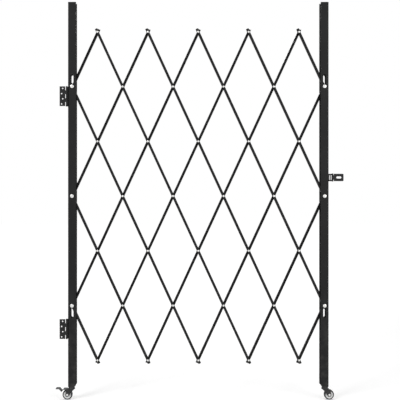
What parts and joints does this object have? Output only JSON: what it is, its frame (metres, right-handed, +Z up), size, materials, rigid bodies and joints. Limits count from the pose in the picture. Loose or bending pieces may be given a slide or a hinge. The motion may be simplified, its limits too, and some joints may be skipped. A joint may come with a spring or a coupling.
{
  "type": "folding security gate",
  "caption": "Folding security gate: two channel posts joined by a riveted scissor lattice, hinged to a wall at one side, on two swivel casters, with a hasp on the lock post.",
  "frame": {"origin": "where the axis of the wall hinges meets the floor", "axes": "+X from the hinge post to the lock post, +Y away from the viewer (towards the wall that the hinges are screwed to), +Z up"},
  "size_m": [1.3012, 0.0429, 1.803],
  "materials": {
    "post_paint": "dark grey powder coat, satin",
    "bar_paint": "black powder coat, satin",
    "hinge_paint": "black paint, satin",
    "bright_zinc": "bright zinc plate",
    "dark_rivets": "black oxide",
    "caster_steel": "dark grey painted steel",
    "hub_plastic": "pale moulded nylon",
    "tyre_rubber": "dark grey rubber"
  },
  "bodies": {
    "wall_side": {"upper_wall_leaf": "hinge_paint", "lower_wall_leaf": "hinge_paint", "upper_hinge_pin": "dark_rivets", "lower_hinge_pin": "dark_rivets"},
    "hinge_side": {"hinge_post": "post_paint", "upper_post_leaf": "hinge_paint", "lower_post_leaf": "hinge_paint", "left_middle_pivot": "bright_zinc", "left_foot_plate": "caster_steel", "left_kingpin": "bright_zinc", "upper_hinge_rivet_1": "dark_rivets", "upper_hinge_rivet_2": "dark_rivets", "upper_hinge_rivet_3": "dark_rivets", "upper_hinge_rivet_4": "dark_rivets", "lower_hinge_rivet_1": "dark_rivets", "lower_hinge_rivet_2": "dark_rivets", "lower_hinge_rivet_3": "dark_rivets", "lower_hinge_rivet_4": "dark_rivets"},
    "front_link_1": {"front_bar_1": "bar_paint", "lower_left_slide_pivot": "bright_zinc", "lower_left_slide_bush": "bright_zinc"},
    "front_link_2": {"front_bar_2": "bar_paint"},
    "front_link_3": {"front_bar_3": "bar_paint", "upper_left_slide_pivot": "bright_zinc", "upper_left_slide_bush": "bright_zinc"},
    "front_link_4": {"front_bar_4": "bar_paint"},
    "front_link_5": {"front_bar_5": "bar_paint"},
    "front_link_6": {"front_bar_6": "bar_paint", "lower_right_slide_pivot": "bright_zinc", "lower_right_slide_bush": "bright_zinc"},
    "front_link_7": {"front_bar_7": "bar_paint"},
    "front_link_8": {"front_bar_8": "bar_paint", "upper_right_slide_pivot": "bright_zinc", "upper_right_slide_bush": "bright_zinc"},
    "back_link_1": {"back_bar_1": "bar_paint"},
    "back_link_2": {"back_bar_2": "bar_paint"},
    "back_link_3": {"back_bar_3": "bar_paint"},
    "back_link_4": {"back_bar_4": "bar_paint"},
    "back_link_5": {"back_bar_5": "bar_paint"},
    "back_link_6": {"back_bar_6": "bar_paint"},
    "back_link_7": {"back_bar_7": "bar_paint"},
    "back_link_8": {"back_bar_8": "bar_paint"},
    "lock_side": {"lock_post": "post_paint", "right_middle_pivot": "bright_zinc", "right_foot_plate": "caster_steel", "right_kingpin": "bright_zinc", "hasp_bracket": "hinge_paint", "hasp_pin": "dark_rivets", "hasp_rivet_1": "dark_rivets", "hasp_rivet_2": "dark_rivets"},
    "hasp": {"hasp_plate": "hinge_paint"},
    "left_caster": {"left_fork": "caster_steel", "left_axle": "bright_zinc"},
    "left_wheel": {"left_wheel_hub": "hub_plastic", "left_tyre": "tyre_rubber"},
    "left_brake": {"brake_pedal": "caster_steel"},
    "right_caster": {"right_fork": "caster_steel", "right_axle": "bright_zinc"},
    "right_wheel": {"right_wheel_hub": "hub_plastic", "right_tyre": "tyre_rubber"}
  },
  "joints": [
    {"name": "gate_swing", "type": "hinge", "parent": "wall_side", "child": "hinge_side", "pos_m": [0, 0, 0], "axis": [0, 0, -1], "range_deg": [0, 170]},
    {"name": "lattice_fold", "type": "hinge", "parent": "hinge_side", "child": "front_link_2", "pos_m": [0.02285, 0.0198, 0.9239], "axis": [0, 1, 0], "range_deg": [0, 19.72]},
    {"name": "front_link_1_pivot", "type": "hinge", "parent": "back_link_3", "child": "front_link_1", "pos_m": [0.02285, 0.0198, 0.42695], "axis": [0, 1, 0], "range_deg": [0, 39.44]},
    {"name": "front_link_3_pivot", "type": "hinge", "parent": "back_link_5", "child": "front_link_3", "pos_m": [0.48041, 0.0198, 0.42695], "axis": [0, 1, 0], "range_deg": [0, 39.44]},
    {"name": "front_link_4_pivot", "type": "hinge", "parent": "back_link_5", "child": "front_link_4", "pos_m": [0.5948, 0.0198, 0.67543], "axis": [0, 1, 0], "range_deg": [0, 39.44]},
    {"name": "front_link_5_pivot", "type": "hinge", "parent": "back_link_5", "child": "front_link_5", "pos_m": [0.70919, 0.0198, 0.9239], "axis": [0, 1, 0], "range_deg": [0, 39.44]},
    {"name": "front_link_6_pivot", "type": "hinge", "parent": "back_link_5", "child": "front_link_6", "pos_m": [0.82358, 0.0198, 1.17237], "axis": [0, 1, 0], "range_deg": [0, 39.44]},
    {"name": "front_link_7_pivot", "type": "hinge", "parent": "back_link_5", "child": "front_link_7", "pos_m": [0.93797, 0.0198, 1.42085], "axis": [0, 1, 0], "range_deg": [0, 39.44]},
    {"name": "front_link_8_pivot", "type": "hinge", "parent": "back_link_5", "child": "front_link_8", "pos_m": [1.05236, 0.0198, 1.66932], "axis": [0, 1, 0], "range_deg": [0, 39.44]},
    {"name": "back_link_1_pivot", "type": "hinge", "parent": "front_link_3", "child": "back_link_1", "pos_m": [0.02285, 0.0198, 1.42085], "axis": [0, 1, 0], "range_deg": [-39.44, 0]},
    {"name": "back_link_2_pivot", "type": "hinge", "parent": "hinge_side", "child": "back_link_2", "pos_m": [0.02285, 0.0198, 0.9239], "axis": [0, 1, 0], "range_deg": [-19.72, 0]},
    {"name": "back_link_3_pivot", "type": "hinge", "parent": "front_link_2", "child": "back_link_3", "pos_m": [0.13724, 0.0198, 0.67543], "axis": [0, 1, 0], "range_deg": [-39.44, 0]},
    {"name": "back_link_4_pivot", "type": "hinge", "parent": "front_link_2", "child": "back_link_4", "pos_m": [0.25163, 0.0198, 0.42695], "axis": [0, 1, 0], "range_deg": [-39.44, 0]},
    {"name": "back_link_5_pivot", "type": "hinge", "parent": "front_link_2", "child": "back_link_5", "pos_m": [0.36602, 0.0198, 0.17848], "axis": [0, 1, 0], "range_deg": [-39.44, 0]},
    {"name": "back_link_6_pivot", "type": "hinge", "parent": "front_link_7", "child": "back_link_6", "pos_m": [1.05236, 0.0198, 1.17237], "axis": [0, 1, 0], "range_deg": [-39.44, 0]},
    {"name": "back_link_7_pivot", "type": "hinge", "parent": "front_link_7", "child": "back_link_7", "pos_m": [1.16675, 0.0198, 0.9239], "axis": [0, 1, 0], "range_deg": [-39.44, 0]},
    {"name": "back_link_8_pivot", "type": "hinge", "parent": "front_link_6", "child": "back_link_8", "pos_m": [1.16675, 0.0198, 0.42695], "axis": [0, 1, 0], "range_deg": [-39.44, 0]},
    {"name": "lock_post_pivot", "type": "hinge", "parent": "front_link_7", "child": "lock_side", "pos_m": [1.16675, 0.0198, 0.9239], "axis": [0, 1, 0], "range_deg": [-19.72, 0]},
    {"name": "hasp_swing", "type": "hinge", "parent": "lock_side", "child": "hasp", "pos_m": [1.2003, 0, 1.0079], "axis": [0, 0, -1], "range_deg": [0, 160]},
    {"name": "left_caster_swivel", "type": "hinge", "parent": "hinge_side", "child": "left_caster", "pos_m": [0.0191, 0.0198, 0.05], "axis": [0, 0, 1], "continuous": true},
    {"name": "left_wheel_spin", "type": "hinge", "parent": "left_caster", "child": "left_wheel", "pos_m": [0.00065, 0.0198, 0.0225], "axis": [0, 1, 0], "continuous": true},
    {"name": "brake_pedal_press", "type": "hinge", "parent": "left_caster", "child": "left_brake", "pos_m": [0.00835, 0.0198, 0.041], "axis": [0, -1, 0], "range_deg": [0, 12]},
    {"name": "right_caster_swivel", "type": "hinge", "parent": "lock_side", "child": "right_caster", "pos_m": [1.1705, 0.0198, 0.05], "axis": [0, 0, 1], "continuous": true},
    {"name": "right_wheel_spin", "type": "hinge", "parent": "right_caster", "child": "right_wheel", "pos_m": [1.18895, 0.0198, 0.0225], "axis": [0, 1, 0], "continuous": true}
  ],
  "couplings": [
    {"joint": "front_link_1_pivot", "follows": "lattice_fold", "ratio": 2},
    {"joint": "front_link_3_pivot", "follows": "lattice_fold", "ratio": 2},
    {"joint": "front_link_4_pivot", "follows": "lattice_fold", "ratio": 2},
    {"joint": "front_link_5_pivot", "follows": "lattice_fold", "ratio": 2},
    {"joint": "front_link_6_pivot", "follows": "lattice_fold", "ratio": 2},
    {"joint": "front_link_7_pivot", "follows": "lattice_fold", "ratio": 2},
    {"joint": "front_link_8_pivot", "follows": "lattice_fold", "ratio": 2},
    {"joint": "back_link_1_pivot", "follows": "lattice_fold", "ratio": -2},
    {"joint": "back_link_2_pivot", "follows": "lattice_fold", "ratio": -1},
    {"joint": "back_link_3_pivot", "follows": "lattice_fold", "ratio": -2},
    {"joint": "back_link_4_pivot", "follows": "lattice_fold", "ratio": -2},
    {"joint": "back_link_5_pivot", "follows": "lattice_fold", "ratio": -2},
    {"joint": "back_link_6_pivot", "follows": "lattice_fold", "ratio": -2},
    {"joint": "back_link_7_pivot", "follows": "lattice_fold", "ratio": -2},
    {"joint": "back_link_8_pivot", "follows": "lattice_fold", "ratio": -2},
    {"joint": "lock_post_pivot", "follows": "lattice_fold", "ratio": -1}
  ]
}
